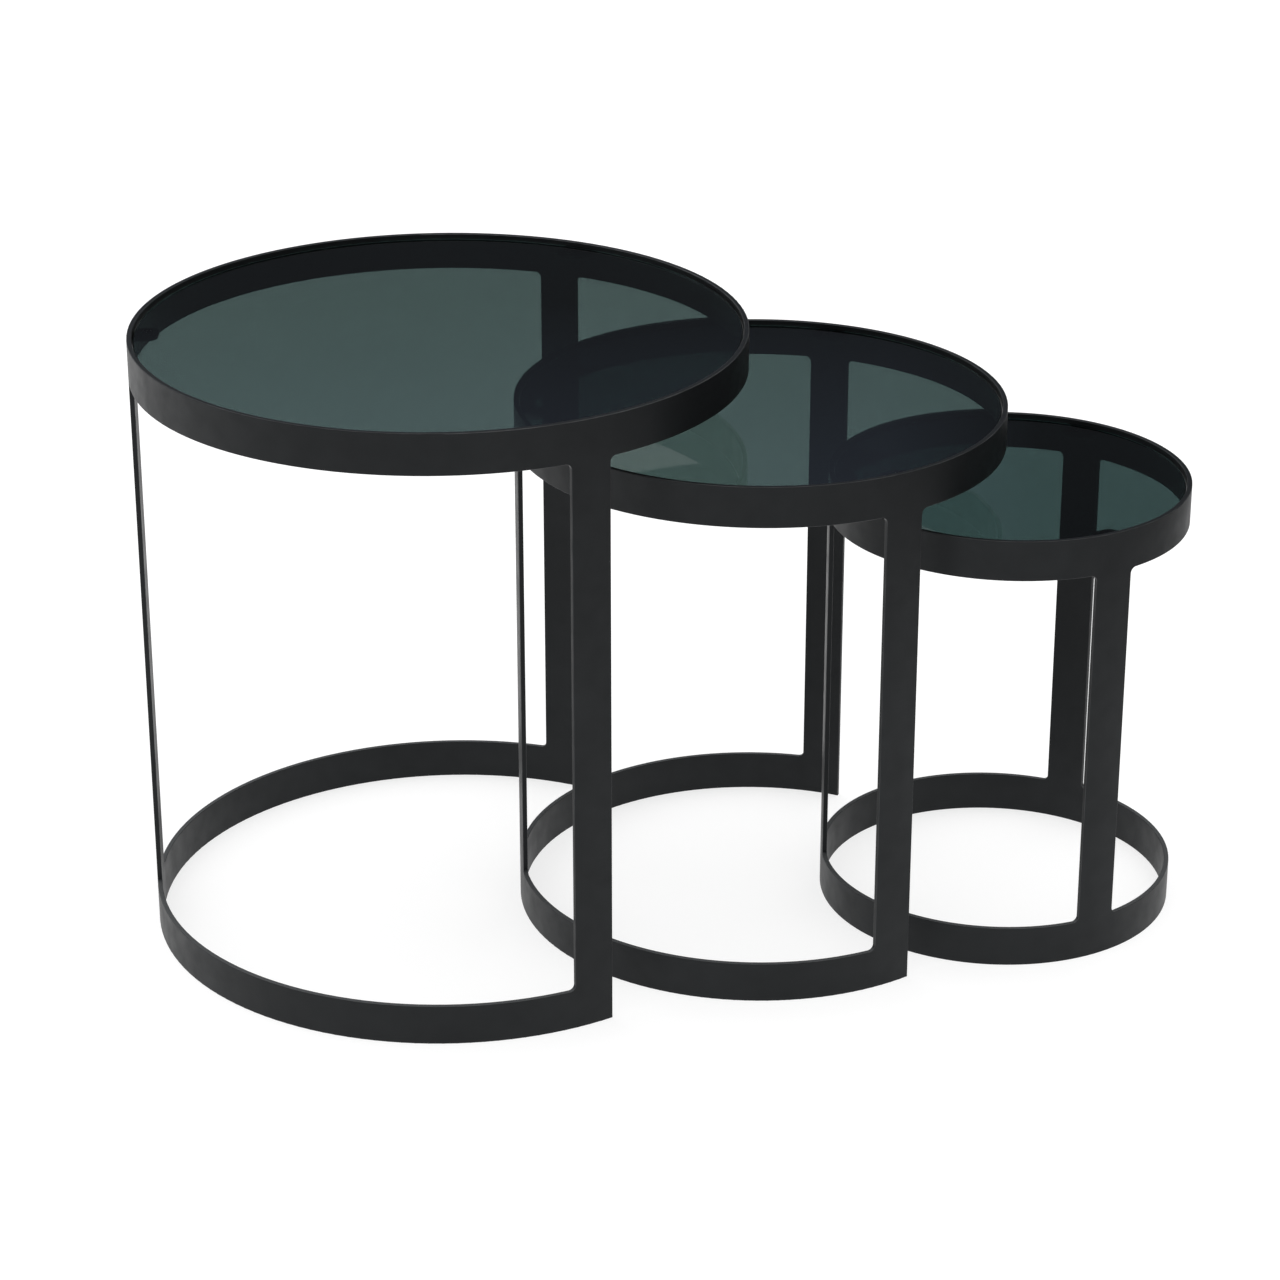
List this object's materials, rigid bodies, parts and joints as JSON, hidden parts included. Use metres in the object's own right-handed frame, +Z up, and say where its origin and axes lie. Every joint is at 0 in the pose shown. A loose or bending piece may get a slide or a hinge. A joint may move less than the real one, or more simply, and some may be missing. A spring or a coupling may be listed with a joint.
{
  "type": "nesting tables",
  "caption": "Round side tables of black flat steel bar with tinted glass tops, each sliding in under the next larger one.",
  "frame": {"origin": "on the floor, at the centre of the bounding box of the row of tables", "axes": "+X along the row from the large table to the small one, the way the tables pull out; +Z up"},
  "size_m": [0.8694, 0.5, 0.52],
  "materials": {
    "frame_coat": "matt black powder coat with a fine texture",
    "glass_top": "polished smoked grey glass, dulled edge",
    "bumper": "clear soft plastic"
  },
  "bodies": {
    "large_table": {"large_top_ring": "frame_coat", "large_base_arc": "frame_coat", "large_leg_left": "frame_coat", "large_leg_front": "frame_coat", "large_leg_rear": "frame_coat", "large_glass": "glass_top", "large_glass_tab_left": "frame_coat", "large_glass_tab_front": "frame_coat", "large_glass_tab_rear": "frame_coat", "large_bumper_left": "bumper", "large_bumper_front": "bumper", "large_bumper_rear": "bumper"},
    "medium_table": {"medium_top_ring": "frame_coat", "medium_base_arc": "frame_coat", "medium_leg_left": "frame_coat", "medium_leg_front": "frame_coat", "medium_leg_rear": "frame_coat", "medium_glass": "glass_top", "medium_glass_tab_left": "frame_coat", "medium_glass_tab_front": "frame_coat", "medium_glass_tab_rear": "frame_coat", "medium_bumper_left": "bumper", "medium_bumper_front": "bumper", "medium_bumper_rear": "bumper"},
    "small_table": {"small_top_ring": "frame_coat", "small_base_ring": "frame_coat", "small_leg_left": "frame_coat", "small_leg_front": "frame_coat", "small_leg_rear": "frame_coat", "small_glass": "glass_top", "small_glass_tab_left": "frame_coat", "small_glass_tab_front": "frame_coat", "small_glass_tab_rear": "frame_coat", "small_bumper_left": "bumper", "small_bumper_front": "bumper", "small_bumper_rear": "bumper"}
  },
  "joints": [
    {"name": "medium_slide", "type": "slide", "parent": "large_table", "child": "medium_table", "axis": [1, 0, 0], "range_m": [-0.303, 0.238]},
    {"name": "small_slide", "type": "slide", "parent": "medium_table", "child": "small_table", "axis": [1, 0, 0], "range_m": [-0.254, 0.192]}
  ]
}
